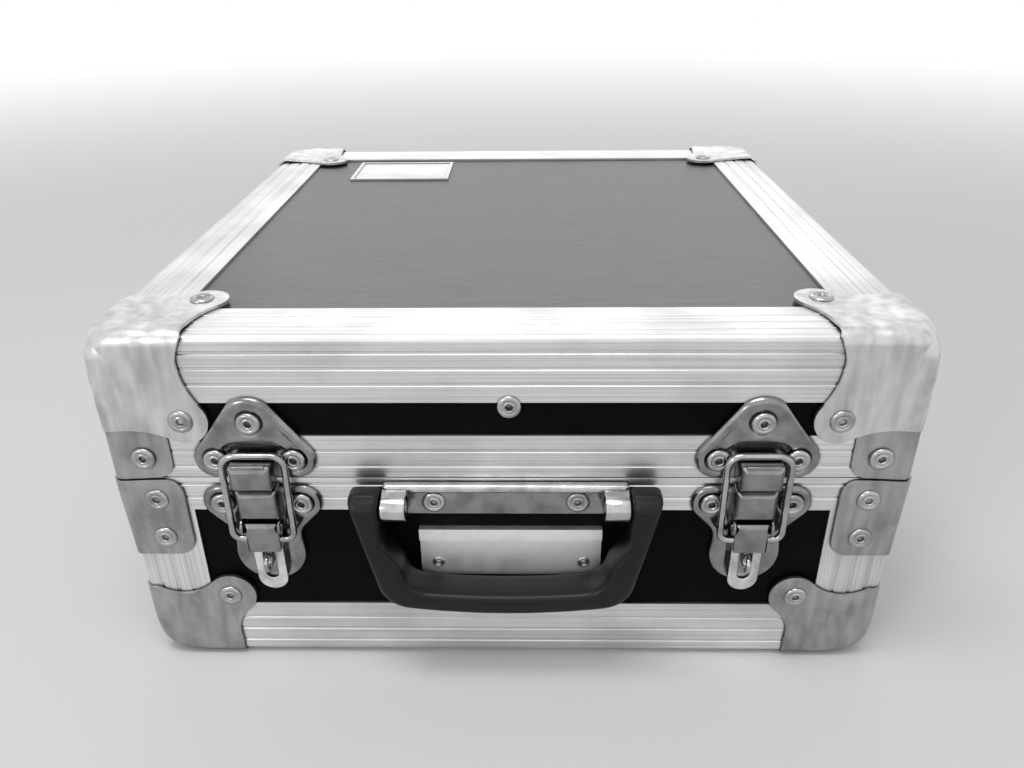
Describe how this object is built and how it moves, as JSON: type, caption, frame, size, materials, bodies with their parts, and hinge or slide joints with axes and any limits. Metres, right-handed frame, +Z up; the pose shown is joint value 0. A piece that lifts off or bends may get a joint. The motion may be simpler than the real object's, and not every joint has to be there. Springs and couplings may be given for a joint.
{
  "type": "record carrying case",
  "caption": "Flat square carrying case of black laminated boards in grooved aluminium edging, with riveted steel corners, a hinged lid, draw latches and a folding handle",
  "frame": {"origin": "centre of the whole part's footprint, on the plane that the four lower corners stand on", "axes": "X left to right along the front, Y from the handle side to the hinge side, Z up"},
  "size_m": [0.3496, 0.3724, 0.1727],
  "materials": {
    "laminate": "black laminate with a fine leathery ripple",
    "extrusion": "drawn aluminium with long grooves, scuffed",
    "corner_steel": "plated steel gone dull, lightly dented",
    "plated": "bright nickel plate",
    "plain_steel": "plated steel, satin",
    "rivet": "round aluminium rivet heads",
    "moulding": "black moulded plastic, half gloss",
    "label": "satin aluminium, bare",
    "foam": "dark grey foam"
  },
  "bodies": {
    "base": {"bottom_panel": "laminate", "base_board_front": "laminate", "base_board_right": "laminate", "base_board_back": "laminate", "base_board_left": "laminate", "bottom_angle_front": "extrusion", "bottom_angle_right": "extrusion", "bottom_angle_back": "extrusion", "bottom_angle_left": "extrusion", "base_upright_angles": "extrusion", "base_rim_front": "extrusion", "base_rim_right": "extrusion", "base_rim_back": "extrusion", "base_rim_left": "extrusion", "bottom_corner_front_left": "corner_steel", "bottom_corner_front_right": "corner_steel", "bottom_corner_back_left": "corner_steel", "bottom_corner_back_right": "corner_steel", "base_braces": "corner_steel", "latch_plate_left": "plated", "latch_plate_right": "plated", "lever_pins": "plated", "handle_bracket": "plated", "card_holder": "plain_steel", "card_rivets": "rivet", "lower_hinge_leaves": "plain_steel", "hinge_pins": "plain_steel", "base_floor_foam": "foam", "base_rivets": "rivet"},
    "lid": {"top_panel": "laminate", "lid_board_front": "laminate", "lid_board_right": "laminate", "lid_board_back": "laminate", "lid_board_left": "laminate", "top_angle_front": "extrusion", "top_angle_right": "extrusion", "top_angle_back": "extrusion", "top_angle_left": "extrusion", "lid_upright_angles": "extrusion", "lid_rim_front": "extrusion", "lid_rim_right": "extrusion", "lid_rim_back": "extrusion", "lid_rim_left": "extrusion", "top_corner_front_left": "corner_steel", "top_corner_front_right": "corner_steel", "top_corner_back_left": "corner_steel", "top_corner_back_right": "corner_steel", "lid_braces": "corner_steel", "keeper_plate_left": "plated", "keeper_plate_right": "plated", "label_plate": "label", "upper_hinge_leaves": "plain_steel", "lid_foam": "foam", "lid_rivets": "rivet"},
    "handle": {"handle_grip": "moulding"},
    "lever_left": {"lever_left": "plated"},
    "bail_left": {"wire_bail_left": "plated"},
    "lever_right": {"lever_right": "plated"},
    "bail_right": {"wire_bail_right": "plated"}
  },
  "joints": [
    {"name": "lid_hinge", "type": "hinge", "parent": "base", "child": "lid", "pos_m": [0, 0.1832, 0.1026], "axis": [-1, 0, 0], "range_deg": [0, 100]},
    {"name": "handle_swing", "type": "hinge", "parent": "base", "child": "handle", "pos_m": [-0.0019, -0.1776, 0.0936], "axis": [-1, 0, 0], "range_deg": [0, 175]},
    {"name": "lever_left_swing", "type": "hinge", "parent": "base", "child": "lever_left", "pos_m": [-0.1092, -0.175, 0.0818], "axis": [-1, 0, 0], "range_deg": [0, 100]},
    {"name": "bail_left_swing", "type": "hinge", "parent": "lever_left", "child": "bail_left", "pos_m": [-0.1092, -0.1744, 0.0745], "axis": [-1, 0, 0], "range_deg": [-103, 0]},
    {"name": "lever_right_swing", "type": "hinge", "parent": "base", "child": "lever_right", "pos_m": [0.1054, -0.175, 0.0818], "axis": [-1, 0, 0], "range_deg": [0, 100]},
    {"name": "bail_right_swing", "type": "hinge", "parent": "lever_right", "child": "bail_right", "pos_m": [0.1054, -0.1744, 0.0745], "axis": [-1, 0, 0], "range_deg": [-103, 0]}
  ],
  "couplings": [
    {"joint": "bail_left_swing", "follows": "lever_left_swing", "ratio": -1.03},
    {"joint": "bail_right_swing", "follows": "lever_right_swing", "ratio": -1.03}
  ]
}
